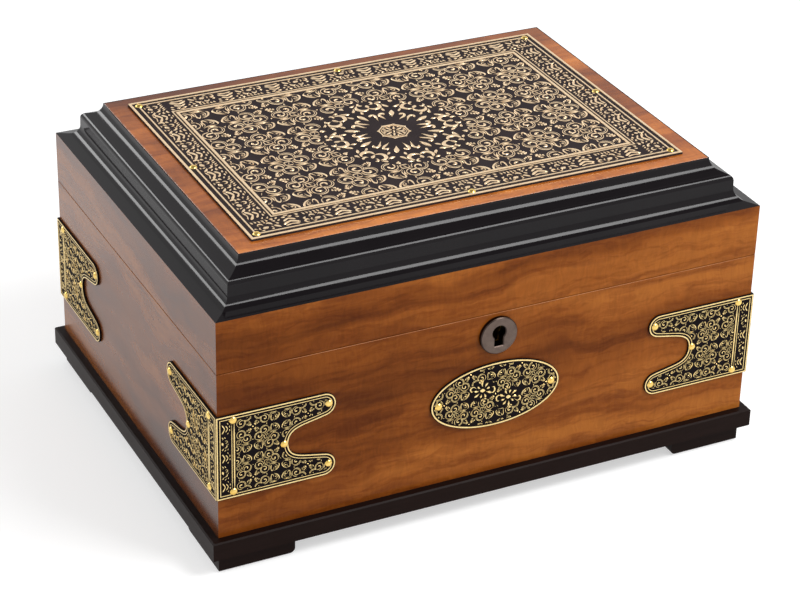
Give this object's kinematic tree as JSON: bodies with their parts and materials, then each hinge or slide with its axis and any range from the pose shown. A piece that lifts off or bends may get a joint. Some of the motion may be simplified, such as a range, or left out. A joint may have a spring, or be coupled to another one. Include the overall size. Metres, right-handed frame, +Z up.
{
  "type": "lockable wooden keepsake chest",
  "caption": "Lockable wooden chest with a stepped black moulding on its hinged lid, engraved corner plates, an oval plaque and bracket feet.",
  "frame": {"origin": "middle of the footprint, on the surface the chest stands on", "axes": "+X to the right, -Y out of the front with the keyhole, +Z up"},
  "size_m": [0.34, 0.255, 0.1822],
  "materials": {
    "figured_veneer": "gloss varnish over figured orange-brown veneer",
    "black_lacquer": "polished black lacquer",
    "black_plinth": "satin black stain",
    "cedar_lining": "bare planed cedar",
    "core_board": "bare board",
    "engraved_plate": "raised gilt scrollwork on a blackened ground",
    "brass_nails": "polished brass",
    "brass_fittings": "satin brass",
    "gunmetal": "dark bronzed metal",
    "lock_steel": "plated steel",
    "felt": "black felt"
  },
  "bodies": {
    "case": {"case_back": "figured_veneer", "case_bottom": "core_board", "case_front": "figured_veneer", "case_left": "figured_veneer", "case_lining_back": "cedar_lining", "case_lining_floor": "cedar_lining", "case_lining_front": "cedar_lining", "case_lining_left": "cedar_lining", "case_lining_right": "cedar_lining", "case_plate_nails": "brass_nails", "case_right": "figured_veneer", "case_screws": "brass_fittings", "corner_plate_back_left": "engraved_plate", "corner_plate_back_right": "engraved_plate", "corner_plate_front_left": "engraved_plate", "corner_plate_front_right": "engraved_plate", "foot_back_left": "black_plinth", "foot_back_right": "black_plinth", "foot_front_left": "black_plinth", "foot_front_right": "black_plinth", "foot_pads": "felt", "hinge_case_leaf_left": "brass_fittings", "hinge_case_leaf_right": "brass_fittings", "hinge_pin_left": "brass_fittings", "hinge_pin_right": "brass_fittings", "keyhole_escutcheon": "gunmetal", "lock_case": "lock_steel", "lock_cover": "lock_steel", "oval_plaque": "engraved_plate", "plinth_back": "black_plinth", "plinth_front": "black_plinth", "plinth_left": "black_plinth", "plinth_right": "black_plinth"},
    "lid": {"hinge_lid_leaf_left": "brass_fittings", "hinge_lid_leaf_right": "brass_fittings", "lid_back": "figured_veneer", "lid_core_board": "core_board", "lid_front": "figured_veneer", "lid_left": "figured_veneer", "lid_lining_back": "cedar_lining", "lid_lining_ceiling": "cedar_lining", "lid_lining_front": "cedar_lining", "lid_lining_left": "cedar_lining", "lid_lining_right": "cedar_lining", "lid_moulding_back": "black_lacquer", "lid_moulding_front": "black_lacquer", "lid_moulding_left": "black_lacquer", "lid_moulding_right": "black_lacquer", "lid_plate": "engraved_plate", "lid_plate_nails": "brass_nails", "lid_right": "figured_veneer", "lid_screws": "brass_fittings", "lid_top_panel": "figured_veneer", "lock_link_plate": "brass_fittings"},
    "bolt": {"lock_bolt": "lock_steel", "lock_spring": "lock_steel"},
    "stay_left": {"hinge_stay_arm_left": "brass_fittings"},
    "stay_right": {"hinge_stay_arm_right": "brass_fittings"}
  },
  "joints": [
    {"name": "lid_hinge", "type": "hinge", "parent": "case", "child": "lid", "pos_m": [0, 0.12495, 0.1244], "axis": [-1, 0, 0], "range_deg": [0, 95]},
    {"name": "stay_left_turn", "type": "hinge", "parent": "case", "child": "stay_left", "pos_m": [-0.158, 0.12495, 0.1244], "axis": [-1, 0, 0], "range_deg": [0, 47.5]},
    {"name": "stay_right_turn", "type": "hinge", "parent": "case", "child": "stay_right", "pos_m": [0.158, 0.12495, 0.1244], "axis": [-1, 0, 0], "range_deg": [0, 47.5]},
    {"name": "lock_bolt_slide", "type": "slide", "parent": "case", "child": "bolt", "axis": [1, 0, 0], "range_m": [0, 0.005]}
  ],
  "couplings": [
    {"joint": "stay_left_turn", "follows": "lid_hinge", "ratio": 0.5},
    {"joint": "stay_right_turn", "follows": "lid_hinge", "ratio": 0.5}
  ]
}
